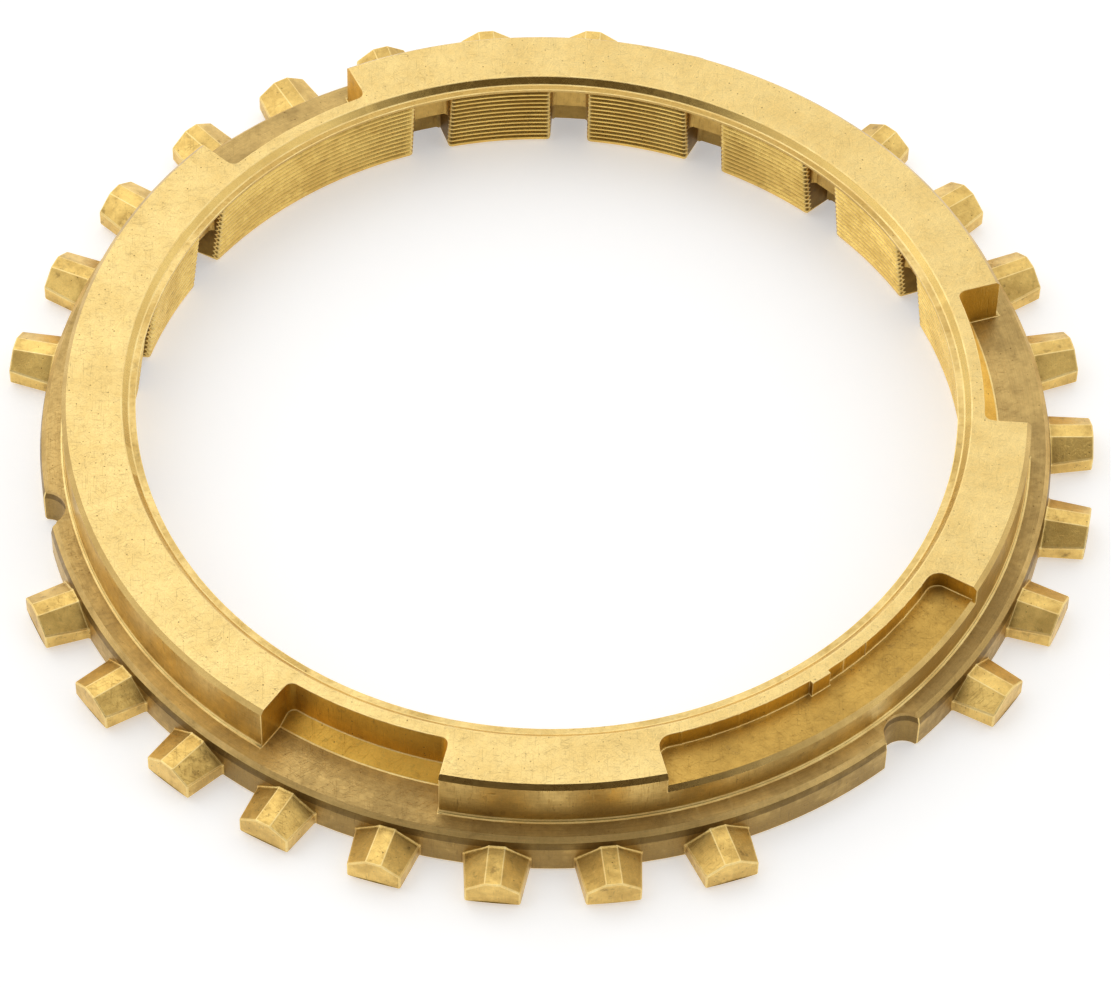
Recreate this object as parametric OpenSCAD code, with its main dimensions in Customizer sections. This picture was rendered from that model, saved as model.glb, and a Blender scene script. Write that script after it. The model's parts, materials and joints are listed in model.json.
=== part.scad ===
// Synchronizer ring of a gearbox, forged and machined in brass as one piece.
// Millimetres. The axis is Z, the gear side stands on z = 0 and the hub face is on top.
// Angles are counted from the middle of the first key slot, which lies on +X.

/* [Hub] */
// Outer diameter of the hub wall
hub_d = 105; // [102:0.5:108]
// Height of the ring from the gear side to the hub face
ring_h = 11; // [10:0.25:13]
// Radial width of the hub from its outer wall to the bore lip
hub_w = 6.5; // [6:0.25:8]
// Chamfer between the hub face and the hub wall
hub_chamfer = 0.5; // [0.2:0.1:0.8]
// Fillet between the hub wall and the flange
foot_fillet = 0.4; // [0.2:0.1:0.8]

/* [Flange] */
// How far the rim stands out from the hub wall
flange_w = 2.7; // [2:0.1:4]
// Height of the flange above the gear side
flange_h = 5.1; // [4.6:0.1:5.8]
// Bevel on the flange's upper edge
flange_bevel = 0.5; // [0.3:0.1:0.8]
// Height of the leaning band below the bevel
rim_band_h = 0.9; // [0.4:0.1:1.2]
// How far that band leans in
rim_band_lean = 0.2; // [0.1:0.05:0.4]
// Chamfer between the rim and the gear side
base_chamfer = 0.3; // [0.1:0.1:0.5]

/* [Friction cone] */
// Chamfer that leads from the hub face down to the ledge
lip_chamfer = 0.7; // [0.4:0.1:1]
// Radial width of the ledge between that chamfer and the cone
ledge_w = 0.8; // [0.5:0.1:1.2]
// Angle between the cone and the axis
cone_angle = 7.5; // [5:0.25:9]
// Number of grooves turned into the cone
groove_count = 12; // [8:1:14]
// Depth of a groove
groove_depth = 0.3; // [0.15:0.05:0.4]
// Width of the crest between two grooves
groove_crest = 0.25; // [0.15:0.05:0.35]
// Plain height left above the first groove and below the last one
cone_land = 0.3; // [0.2:0.1:0.8]
// Chamfer between the cone and the gear side
cone_chamfer = 0.5; // [0.2:0.1:1]

/* [Oil slots] */
// Oil slots between two key slots
oil_slots_per_third = 5; // [3:1:7]
// Width of an oil slot
oil_slot_w = 4.2; // [3:0.2:5]
// Depth of an oil slot's lower part behind the lip
oil_slot_depth = 3.6; // [2.4:0.1:4]
// Depth of its upper part behind the lip
oil_web_depth = 0.4; // [0.1:0.1:1]
// Distance from the ledge down to the lower edge of that upper part
oil_web_h = 4.6; // [3:0.1:5.4]
// Fall of the lower part's roof towards its back
oil_roof_drop = 0.9; // [0.4:0.1:1.5]
// Thickness of the ledge over the slots
oil_cover = 0.4; // [0.3:0.05:0.8]

/* [Key slots] */
// Angle that a key slot takes up
key_slot_angle = 22; // [18:1:26]
// Wall left between a key slot and the lip
key_wall = 1.4; // [1:0.1:2]
// Width of the sloping shelf at the foot of that wall
key_shelf_w = 2; // [1:0.1:2.5]
// Rise of the shelf above the flange
key_shelf_h = 1.3; // [0.5:0.1:2]
// Radius of the slot's inner corners
key_corner_r = 0.9; // [0.4:0.1:1.5]

/* [Hub recess] */
// Angle that the shallow recess takes up
recess_angle = 46; // [30:1:60]
// Depth of the recess below the hub face
recess_depth = 2.2; // [1:0.1:2.4]
// Wall left between the recess and the lip
recess_wall = 1.3; // [1:0.1:2]
// Radius of the recess's inner corners
recess_corner_r = 1.5; // [0.5:0.1:2]
// Chamfer on the outer edge of the recess floor
recess_chamfer = 0.5; // [0.2:0.1:0.8]
// Width of the small step on the recess wall
step_w = 2.4; // [1.5:0.1:4]
// How far the step stands out from the wall
step_t = 0.45; // [0.2:0.05:0.8]

/* [Blocking teeth] */
// Teeth in each of the three groups
teeth_per_group = 8; // [5:1:8]
// Angle from one tooth to the next
tooth_pitch = 12; // [10:0.5:12.5]
// How far a tooth stands out from the rim
tooth_l = 4.8; // [3.6:0.2:6]
// Width of a tooth at the rim
tooth_root_w = 7; // [5.6:0.1:7.6]
// Width of a tooth at its tip
tooth_tip_w = 5.8; // [4.4:0.1:6.4]
// Width of the flat ridge
ridge_w = 1.7; // [0.8:0.1:2.4]
// Height of the ridge above the gear side
ridge_h = 3.9; // [3.2:0.1:4.2]
// Fall of the two roof faces beside the ridge
roof_angle = 33; // [15:1:38]
// Clearance below a tooth
tooth_base_h = 0.5; // [0.2:0.1:0.9]

/* [Index marks] */
// Angle of each index mark from the middle of its gap
index_angle = 6; // [3:0.5:8]
// Radius of the two half-round notches
notch_r = 2.4; // [1.6:0.1:3]
// How deep a notch reaches into the rim
notch_depth = 2.1; // [1:0.1:2.3]
// How far the short tooth in the third gap stands out
stub_l = 3.4; // [2:0.2:4]

/* [Hidden] */
$fn = 180;
brass = [0.82, 0.66, 0.33];
// Reach of a cut past the face that it opens
cut_over = 1;
// How deep the teeth are rooted in the rim
tooth_root = 1;
third = 120;
hub_r = hub_d / 2;
rim_r = hub_r + flange_w;
lip_r = hub_r - hub_w;
ledge_z = ring_h - lip_chamfer;
ledge_r = lip_r - lip_chamfer;
cone_top_r = ledge_r - ledge_w;
groove_pitch = (ledge_z - cone_chamfer - 2 * cone_land) / groove_count;
groove_w = groove_pitch - groove_crest;
key_slot_r = lip_r + key_wall;
recess_r = lip_r + recess_wall;
recess_z = ring_h - recess_depth;
oil_slot_r = lip_r + oil_slot_depth;
oil_slot_pitch = third / (oil_slots_per_third + 1);
key_slots = [0, third, 2 * third];
recess_mid = 2.5 * third;
notched_gaps = [1.5 * third, 2.5 * third];
stub_gap = 0.5 * third;

// Radius of the friction cone at height z
function cone_r(z) = cone_top_r + (ledge_z - z) * tan(cone_angle);

// The three corners of one groove that starts at height z
function groove(z) = [
    [cone_r(z), z],
    [cone_r(z - groove_w / 2) + groove_depth, z - groove_w / 2],
    [cone_r(z - groove_w), z - groove_w]
];

// Half the width of a tooth at radius r
function tooth_half_w(r) = (tooth_root_w + (tooth_tip_w - tooth_root_w) * (r - rim_r) / tooth_l) / 2;

// Section of the turned ring: base, rim, flange, hub, ledge and grooved cone
module ring_section() {
    rim = [
        [rim_r - base_chamfer, 0],
        [rim_r, base_chamfer],
        [rim_r, flange_h - flange_bevel - rim_band_h],
        [rim_r - rim_band_lean, flange_h - flange_bevel],
        [rim_r - rim_band_lean - flange_bevel, flange_h]
    ];
    hub = [
        [hub_r, flange_h],
        [hub_r, ring_h - hub_chamfer],
        [hub_r - hub_chamfer, ring_h],
        [lip_r, ring_h],
        [ledge_r, ledge_z],
        [cone_top_r, ledge_z]
    ];
    first_groove = ledge_z - cone_land - groove_crest / 2;
    grooves = [for (i = [0 : groove_count - 1]) each groove(first_groove - i * groove_pitch)];
    cone_end = [[cone_r(cone_chamfer), cone_chamfer], [cone_r(0) + cone_chamfer, 0]];
    polygon(concat(rim, hub, grooves, cone_end));
}

// Fillet that runs round the foot of the hub wall
module foot_section() {
    translate([hub_r, flange_h])
        difference() {
            translate([-cut_over, -cut_over])
                square(foot_fillet + cut_over);
            translate([foot_fillet, foot_fillet])
                circle(foot_fillet);
        }
}

module turned_ring() {
    rotate_extrude()
        ring_section();
    rotate_extrude()
        foot_section();
}

// Wedge of a disc, open by the given angle about +X
module wedge(r, angle) {
    far = 2 * r;
    intersection() {
        circle(r);
        polygon([[0, 0], far * [cos(angle / 2), -sin(angle / 2)], far * [cos(angle / 2), sin(angle / 2)]]);
    }
}

// Plan of a slot that starts at radius r, with round inner corners
module slot_plan(r, angle, corner_r) {
    reach = rim_r + cut_over;
    corner_angle = angle / 2 - asin(corner_r / (r + corner_r));
    difference() {
        wedge(reach, angle);
        circle(r + corner_r);
    }
    difference() {
        wedge(reach, 2 * corner_angle);
        circle(r);
    }
    for (side = [-1, 1])
        rotate(side * corner_angle)
            translate([r + corner_r, 0])
                circle(corner_r);
}

// Room for one of the three keys: a wall, a sloping shelf and a floor level with the flange
module key_slot() {
    slope = key_shelf_h / key_shelf_w;
    inner_r = key_slot_r - cut_over;
    outer_r = rim_r + cut_over;
    section = [
        [inner_r, ring_h + cut_over],
        [inner_r, flange_h + (key_shelf_w + cut_over) * slope],
        [key_slot_r + key_shelf_w, flange_h],
        [outer_r, flange_h],
        [outer_r, ring_h + cut_over]
    ];
    intersection() {
        rotate_extrude()
            polygon(section);
        linear_extrude(ring_h + 2 * cut_over)
            slot_plan(key_slot_r, key_slot_angle, key_corner_r);
    }
}

// Shallow recess in the hub face, with a chamfered outer edge and a small step on its wall
module hub_recess() {
    inner_r = recess_r - cut_over;
    outer_r = rim_r + cut_over;
    chamfer_drop = outer_r - hub_r + recess_chamfer;
    section = [
        [inner_r, ring_h + cut_over],
        [inner_r, recess_z],
        [hub_r - recess_chamfer, recess_z],
        [outer_r, recess_z - chamfer_drop],
        [outer_r, ring_h + cut_over]
    ];
    difference() {
        intersection() {
            rotate_extrude()
                polygon(section);
            linear_extrude(ring_h + 2 * cut_over)
                slot_plan(recess_r, recess_angle, recess_corner_r);
        }
        translate([inner_r, -step_w / 2, 0])
            cube([cut_over + step_t, step_w, ring_h + 2 * cut_over]);
    }
}

// Oil slot below the ledge, open to the bore and the gear side and deeper in its lower part
module oil_slot() {
    web_r = lip_r + oil_web_depth;
    web_z = ledge_z - oil_web_h;
    cover_z = ledge_z - oil_cover;
    bore_r = cone_top_r - cut_over;
    section = [
        [bore_r, -cut_over],
        [oil_slot_r, -cut_over],
        [oil_slot_r, web_z - oil_roof_drop],
        [web_r, web_z],
        [web_r, cover_z],
        [bore_r, cover_z]
    ];
    rotate([90, 0, 0])
        linear_extrude(oil_slot_w, center = true)
            polygon(section);
}

// Pointed blocking tooth on +X: tapered in plan, with two roof faces beside a flat ridge
module tooth(length) {
    end_r = rim_r + length;
    root_r = rim_r - tooth_root;
    plan_r = end_r + cut_over;
    eave_w = tooth_half_w(root_r);
    eave_h = ridge_h - (eave_w - ridge_w / 2) * tan(roof_angle);
    plan = [
        [root_r, -tooth_half_w(root_r)],
        [plan_r, -tooth_half_w(plan_r)],
        [plan_r, tooth_half_w(plan_r)],
        [root_r, tooth_half_w(root_r)]
    ];
    roof = [
        [-eave_w, tooth_base_h],
        [eave_w, tooth_base_h],
        [eave_w, eave_h],
        [ridge_w / 2, ridge_h],
        [-ridge_w / 2, ridge_h],
        [-eave_w, eave_h]
    ];
    intersection() {
        linear_extrude(ring_h)
            polygon(plan);
        rotate([90, 0, 90])
            linear_extrude(plan_r)
                polygon(roof);
        cylinder(h = ring_h, r = end_r);
    }
}

// One group of teeth, spread evenly about +X
module tooth_group() {
    for (i = [0 : teeth_per_group - 1])
        rotate((i - (teeth_per_group - 1) / 2) * tooth_pitch)
            tooth(tooth_l);
}

// Half-round notch through the rim
module index_notch() {
    translate([rim_r - notch_depth + notch_r, 0, -cut_over])
        cylinder(h = flange_h + 2 * cut_over, r = notch_r);
}

module synchronizer_ring() {
    color(brass)
        difference() {
            union() {
                turned_ring();
                for (a = key_slots)
                    rotate(a)
                        tooth_group();
                rotate(stub_gap + index_angle)
                    tooth(stub_l);
            }
            for (a = key_slots) {
                rotate(a)
                    key_slot();
                for (i = [1 : oil_slots_per_third])
                    rotate(a + i * oil_slot_pitch)
                        oil_slot();
            }
            rotate(recess_mid)
                hub_recess();
            for (a = notched_gaps)
                rotate(a + index_angle)
                    index_notch();
        }
}

synchronizer_ring();
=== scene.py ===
# %% [markdown]
# # A brass synchronizer ring, built step by step
# A synchronizer ring sits between a gear and its hub in a gearbox. Its inner cone rubs on the gear,
# and its blocking teeth keep the shift sleeve out until both turn at one speed. It is one piece of
# brass: forged, turned, then milled. The imported CAD model is the fixed frame, so it is loaded first.

# %% Load the frame
import json
import math

import bmesh
import bpy
import numpy as np
from mathutils import Matrix, Vector

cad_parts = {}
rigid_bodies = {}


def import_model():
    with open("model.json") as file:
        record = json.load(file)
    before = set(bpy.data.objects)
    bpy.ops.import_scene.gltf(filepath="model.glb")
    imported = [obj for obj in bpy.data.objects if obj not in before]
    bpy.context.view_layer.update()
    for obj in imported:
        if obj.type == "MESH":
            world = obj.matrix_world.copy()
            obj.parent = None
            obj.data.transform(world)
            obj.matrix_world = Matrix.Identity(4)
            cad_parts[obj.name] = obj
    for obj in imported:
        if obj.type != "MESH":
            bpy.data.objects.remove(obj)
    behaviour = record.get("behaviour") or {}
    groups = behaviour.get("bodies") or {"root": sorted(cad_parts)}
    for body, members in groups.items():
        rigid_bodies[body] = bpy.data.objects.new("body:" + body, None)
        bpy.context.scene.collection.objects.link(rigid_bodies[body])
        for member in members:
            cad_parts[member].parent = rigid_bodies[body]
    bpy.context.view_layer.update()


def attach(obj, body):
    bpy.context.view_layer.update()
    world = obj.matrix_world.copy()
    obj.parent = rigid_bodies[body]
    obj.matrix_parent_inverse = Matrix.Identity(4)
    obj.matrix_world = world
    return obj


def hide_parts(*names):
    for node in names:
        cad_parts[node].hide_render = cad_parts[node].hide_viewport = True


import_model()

scene = bpy.context.scene

# %% [markdown]
# ## Sizes
# All sizes are in millimetres, as on a drawing, and one factor turns them into Blender's metres.
# Heights are counted from the gear side, which lies on z = 0, and angles from the middle of the first
# key slot, which lies on +X.

# %% Sizes of the ring
MM = 0.001
HUB_R, RIM_R, LIP_R = 52.5, 55.2, 46.0
RING_H, FLANGE_H = 11.0, 5.1
HUB_CHAMFER, FOOT_FILLET = 0.5, 0.4
FLANGE_BEVEL, RIM_BAND_H, RIM_BAND_LEAN, BASE_CHAMFER = 0.5, 0.9, 0.2, 0.3
LEDGE_R, LEDGE_Z, COVER_Z = 45.3, 10.3, 9.9
CONE_TOP_R, CONE_SLOPE, CONE_CHAMFER = 44.5, math.tan(math.radians(7.5)), 0.5
KEY_SLOTS, KEY_HALF, KEY_R, KEY_CORNER_R = (0, 120, 240), 11.0, 47.4, 0.9
SHELF_R, SHELF_SLOPE = 49.4, 0.65
RECESS_MID, RECESS_HALF, RECESS_R, RECESS_CORNER_R = 300.0, 23.0, 47.3, 1.5
RECESS_Z, RECESS_CHAMFER = 8.8, 0.5
STEP_HALF_W, STEP_T = 1.2, 0.45
NOTCHES, NOTCH_R, NOTCH_DEPTH = (186.0, 306.0), 2.4, 2.1
NOTCH_MID_R = RIM_R - NOTCH_DEPTH + NOTCH_R
OIL_HALF_W, OIL_R, OIL_ROOF_Z, OIL_PITCH = 2.1, 49.6, 4.8, 20.0
WEB_R, WEB_Z = 46.4, 5.7
PLAIN_BORE_HALF = 17.0
THIRDS, THIRD = 3, 120.0


def cone_r(z):
    """Radius of the friction cone at height z."""
    return CONE_TOP_R + (LEDGE_Z - z) * CONE_SLOPE


print("rim diameter", 2 * RIM_R, "mm, cone mouth", round(2 * cone_r(0), 2), "mm")

# %% [markdown]
# ## The camera
# A long lens looks down on the ring from its front, as in a catalogue picture. The picture's axes are
# worked out from the lens's height angle, and the camera is rolled by the degree and a half that the
# picture leans. The first key slot stands 8 degrees round from the picture's right, so the whole
# camera is turned about the ring's axis rather than the ring. The lens's distance was fitted in units
# of 52 mm, which is about the hub's radius.

# %% Place the camera
IMAGE_W = 1111
FOCAL_PX, SENSOR_MM = 5310.0, 36.0
LENS_ELEVATION, LENS_ROLL, KEY_PHASE = math.radians(51.941), math.radians(1.53), math.radians(8.0)
FIT_UNIT = 52
LENS_OFFSET = Vector((-0.01733, -0.216762, 11.057845)) * FIT_UNIT * MM

right = Vector((1, 0, 0))
ahead = Vector((0, math.cos(LENS_ELEVATION), -math.sin(LENS_ELEVATION)))
down = ahead.cross(right)
level = Matrix((right, down, ahead))
roll = Matrix.Rotation(LENS_ROLL, 3, "Z")
lens_axes = roll @ level
turn = Matrix.Rotation(-KEY_PHASE, 3, "Z")
place = turn @ (-(lens_axes.transposed() @ LENS_OFFSET)) + Vector((0, 0, RING_H * MM))
view_right, view_down, view_ahead = (turn @ Vector(row) for row in lens_axes)

lens = bpy.data.cameras.new("picture_lens")
lens.sensor_fit, lens.sensor_width = "HORIZONTAL", SENSOR_MM
lens.lens = FOCAL_PX * SENSOR_MM / IMAGE_W
lens.clip_start, lens.clip_end = 0.01, 10
camera = bpy.data.objects.new("picture_camera", lens)
scene.collection.objects.link(camera)
camera_axes = Matrix((view_right, -view_down, -view_ahead)).transposed()
camera.matrix_world = Matrix.Translation(place) @ camera_axes.to_4x4()
scene.camera = camera
print("camera", [round(c, 4) for c in place], "lens", round(lens.lens, 1), "mm")

# %% [markdown]
# ## A helper for node materials
# Used brass is never one colour: the metal tarnishes in patches, the cutting tool leaves fine lines
# round the axis, and small pits stay from the forging. All of these can be drawn with noise textures
# on the object's own coordinates, so they need no image and no unwrapping. The corners are darkened
# too, which is partly grime and partly painted shade.
# This small class adds nodes to one material in short calls, with sizes given in millimetres.

# %% The node helper
MARK_RADIUS = 50.0
SCRATCH_LEVELS = 0.66, 0.74
PIT_SPREAD, PIT_LEAST = 0.12, 0.08


class NodeSheet:
    """Adds shader nodes to one material in short calls."""

    def __init__(self, name):
        self.material = bpy.data.materials.new(name)
        self.material.use_nodes = True
        self.tree = self.material.node_tree
        self.shader = self.tree.nodes["Principled BSDF"]
        self.here = self.add("ShaderNodeTexCoord").outputs["Object"]

    def feed(self, socket, value):
        """Links a socket to another one, or gives it a plain value."""
        if isinstance(value, bpy.types.NodeSocket):
            self.tree.links.new(value, socket)
        else:
            socket.default_value = value

    def add(self, kind, inputs=(), **options):
        """One node, its options first and then its inputs."""
        node = self.tree.nodes.new(kind)
        for option, value in options.items():
            setattr(node, option, value)
        for socket, value in inputs:
            self.feed(node.inputs[socket], value)
        return node

    def maths(self, operation, *values):
        """One sum on plain numbers."""
        return self.add("ShaderNodeMath", enumerate(values), operation=operation).outputs[0]

    def vector(self, operation, *values):
        """One sum on vectors; its outputs are a vector and a number."""
        return self.add("ShaderNodeVectorMath", enumerate(values), operation=operation).outputs

    def fade(self, value, start, end, low=0.0, high=1.0):
        """Goes smoothly from low to high while the value goes from start to end."""
        inputs = [("Value", value), ("From Min", start), ("From Max", end), ("To Min", low), ("To Max", high)]
        return self.add("ShaderNodeMapRange", inputs, interpolation_type="SMOOTHSTEP").outputs["Result"]

    def mix(self, factor, first, second):
        """A colour between two others."""
        return self.add("ShaderNodeMix", [(0, factor), (6, first), (7, second)], data_type="RGBA").outputs[2]

    def shade(self, colour, tone):
        """A colour made lighter or darker."""
        return self.add("ShaderNodeVectorMath", [(0, colour), ("Scale", tone)], operation="SCALE").outputs[0]

    def noise(self, size, detail):
        """Cloudy noise whose patches are about size millimetres wide."""
        inputs = [("Vector", self.here), ("Scale", 1 / (size * MM)), ("Detail", detail), ("Roughness", 0.6)]
        return self.add("ShaderNodeTexNoise", inputs).outputs["Fac"]

    def turning_marks(self, width, length):
        """Noise drawn out round the axis: fine across radius and height, and long round the turn."""
        flat = self.vector("MULTIPLY", self.here, (1, 1, 0))[0]
        radius = self.vector("LENGTH", flat)["Value"]
        heading = self.vector("NORMALIZE", flat)[0]
        rise = self.vector("MULTIPLY", self.here, (0, 0, 1 / (width * MM)))[0]
        spread = MARK_RADIUS / length
        spot = self.vector("MULTIPLY_ADD", heading, (spread, spread, 0), rise)[0]
        across = self.maths("DIVIDE", radius, width * MM)
        inputs = [("Vector", spot), ("W", across), ("Scale", 1), ("Detail", 3)]
        return self.add("ShaderNodeTexNoise", inputs, noise_dimensions="4D").outputs["Fac"]

    def scratches(self, heading, width, length):
        """Sparse thin lines in one direction, in degrees."""
        inputs = [
            ("Vector", self.here), ("Rotation", (0, 0, math.radians(heading))),
            ("Scale", (length * MM, width * MM, length * MM)),
        ]
        spot = self.add("ShaderNodeMapping", inputs, vector_type="TEXTURE").outputs[0]
        lines = self.add("ShaderNodeTexNoise", [("Vector", spot), ("Scale", 1), ("Detail", 1)]).outputs["Fac"]
        return self.fade(lines, *SCRATCH_LEVELS)

    def pits(self, spacing, share):
        """Small round dots in a share of the cells of a Voronoi pattern."""
        cells = self.add("ShaderNodeTexVoronoi", [("Vector", self.here), ("Scale", 1 / (spacing * MM))])
        draw = self.add("ShaderNodeSeparateColor", [("Color", cells.outputs["Color"])])
        chosen = self.maths("LESS_THAN", draw.outputs["Red"], share)
        reach = self.maths("MULTIPLY_ADD", draw.outputs["Green"], PIT_SPREAD, PIT_LEAST)
        depth = self.maths("SUBTRACT", 1, self.maths("DIVIDE", cells.outputs["Distance"], reach))
        return self.maths("MULTIPLY", chosen, self.fade(depth, 0.0, 0.5))


print("node helper ready")

# %% [markdown]
# ## The brass finishes
# One recipe makes every finish. Clean metal and tarnish are mixed by a cloudy noise, turning marks and
# scratches change the tone a little, and an Ambient Occlusion node darkens the corners with painted
# shade and some grime. Faces turned to one side, and places round a given middle, can be mixed further
# towards the tarnish; on the front side and on the far side of the ledge this is painted shade. The same
# patterns drive the roughness and a shallow bump, so a stain is also duller and a pit also catches the
# light. What differs between the faces is how they were cut and how much they are touched: the hub face
# is bright, and the walls are dull. Tool marks are given by width and length, scratches by direction,
# width and length, and a darkened place by its middle and its reach.

# %% The recipe for brass
# The corner colour below is painted shade with some grime.
PIT_TONE, SHADE_AND_GRIME_TONE = (0.20, 0.115, 0.035, 1), (0.10, 0.052, 0.012, 1)
SMUDGE_TONE = (0.26, 0.16, 0.055, 1)
MOTTLE, GRAIN, SMUDGE, PIT_GAP, BUMP_H = 0.8, 0.2, 1.3, 0.6, 0.02
TOOL_MARKS, STREAKS = (0.11, 5.0), (9.0, 0.7)
DARK_SCRATCHES = (25, 0.05, 2.2), (-52, 0.05, 1.6), (85, 0.06, 2.6), (-12, 0.05, 1.8)
BRIGHT_SCRATCHES = (60, 0.05, 2.4)
# Faces turned to the side below get painted shade.
SHADED_SIDE = (-0.14, -0.99, 0.0)
# Of the darkened places below, the one near the notch only darkens the metal there, and the one on the far
# side is painted shade.
DARKENED_PLACES = {"notch": ((41.0, -35.0, 5.0), 15.0), "shaded far side": ((6.3, 44.6, 10.0), 55.0)}
AO_SAMPLES = 6


def brass(
    name, pale, dull, tarnish=0.8, patch=5.0, side_shade=0.0, darkened=0.0, darkened_place="notch", smudged=0.3,
    turned=0.4, streaked=0.0, scratched=0.12, pitted=0.25, grainy=0.3, shade_and_grime=0.4, reach=2.0,
    rough=0.36, bumpy=0.5,
):
    """A brass finish from clean metal (pale) to tarnish (dull), with marks, pits, and painted shade and grime
    in corners.
    """
    sheet = NodeSheet(name)
    cloud, mottle, grain = sheet.noise(patch, 6), sheet.noise(MOTTLE, 4), sheet.noise(GRAIN, 2)
    marks = sheet.turning_marks(*TOOL_MARKS)
    spread = sheet.maths("MULTIPLY_ADD", mottle, 0.45, cloud)
    # Painted shade: faces turned to the front, where the camera stands, are mixed further towards the dull
    # colour.
    if side_shade:
        faces = sheet.add("ShaderNodeTexCoord").outputs["Normal"]
        turned_to = sheet.vector("DOT_PRODUCT", faces, SHADED_SIDE)["Value"]
        spread = sheet.maths("ADD", spread, sheet.fade(turned_to, 0.5, 1.0, 0.0, side_shade))
    # Darkening round a given middle: near the notch it darkens the metal, and on the far side of the ledge it
    # is painted shade.
    if darkened:
        middle, span = DARKENED_PLACES[darkened_place]
        away = sheet.vector("DISTANCE", sheet.here, Vector(middle) * MM)["Value"]
        near = sheet.fade(away, span * MM, 0.2 * span * MM, 0.0, darkened)
        spread = sheet.maths("ADD", spread, near)
    # This mask holds the tarnish, and also the painted shade of the front side and of the ledge's far side.
    tarnish_and_shade = sheet.fade(spread, 0.52, 0.94, 0.0, tarnish)
    colour = sheet.mix(tarnish_and_shade, (*pale, 1), (*dull, 1))
    touched = sheet.fade(sheet.noise(SMUDGE, 5), 0.57, 0.68)
    smudge = sheet.maths("MULTIPLY", touched, sheet.fade(cloud, 0.42, 0.58))
    colour = sheet.mix(sheet.maths("MULTIPLY", smudge, smudged), colour, SMUDGE_TONE)
    pit = sheet.pits(PIT_GAP, pitted)
    filled = sheet.maths("MULTIPLY", pit, sheet.fade(mottle, 0.3, 0.65, 0.2, 0.9))
    colour = sheet.mix(filled, colour, PIT_TONE)
    # Painted shade with some grime: the Ambient Occlusion node darkens the corners and hollows.
    corner = sheet.add(
        "ShaderNodeAmbientOcclusion", [("Distance", reach * MM)], samples=AO_SAMPLES, only_local=True
    )
    open_share = sheet.maths("ADD", corner.outputs["AO"], 0.125)
    open_share = sheet.maths("MULTIPLY_ADD", mottle, -0.25, open_share)
    colour = sheet.mix(sheet.fade(open_share, 0.88, 0.3, 0.0, shade_and_grime), colour, SHADE_AND_GRIME_TONE)
    fleck = sheet.fade(mottle, 0.35, 0.65, -0.1, 0.1)
    speck = sheet.fade(grain, 0.3, 0.7, -0.18, 0.18)
    tone = sheet.maths("MULTIPLY_ADD", sheet.maths("ADD", fleck, speck), grainy, 1.0)
    tone = sheet.maths("MULTIPLY_ADD", sheet.maths("SUBTRACT", marks, 0.5), turned, tone)
    if streaked:
        streaks = sheet.maths("SUBTRACT", sheet.turning_marks(*STREAKS), 0.5)
        tone = sheet.maths("MULTIPLY_ADD", streaks, streaked, tone)
    height = sheet.maths("MULTIPLY_ADD", mottle, 0.5, grain)
    height = sheet.maths("MULTIPLY_ADD", marks, 2.5 * turned, height)
    if scratched:
        lines = sheet.scratches(*DARK_SCRATCHES[0])
        for scratch in DARK_SCRATCHES[1:]:
            lines = sheet.maths("ADD", lines, sheet.scratches(*scratch))
        tone = sheet.maths("MULTIPLY_ADD", lines, -scratched, tone)
        tone = sheet.maths("MULTIPLY_ADD", sheet.scratches(*BRIGHT_SCRATCHES), scratched, tone)
        height = sheet.maths("MULTIPLY_ADD", lines, -1.5, height)
    height = sheet.maths("MULTIPLY_ADD", pit, -2.0, height)
    bump = sheet.add("ShaderNodeBump", [("Strength", bumpy), ("Distance", BUMP_H * MM), ("Height", height)])
    dulling = sheet.maths("MULTIPLY_ADD", tarnish_and_shade, 0.12, rough - 0.05)
    sheet.feed(sheet.shader.inputs["Base Color"], sheet.shade(colour, tone))
    sheet.feed(sheet.shader.inputs["Roughness"], sheet.maths("MULTIPLY_ADD", mottle, 0.1, dulling))
    sheet.feed(sheet.shader.inputs["Normal"], bump.outputs[0])
    sheet.shader.inputs["Metallic"].default_value = 1
    return sheet.material


print("recipe ready, smears at:", ", ".join(DARKENED_PLACES))
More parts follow.
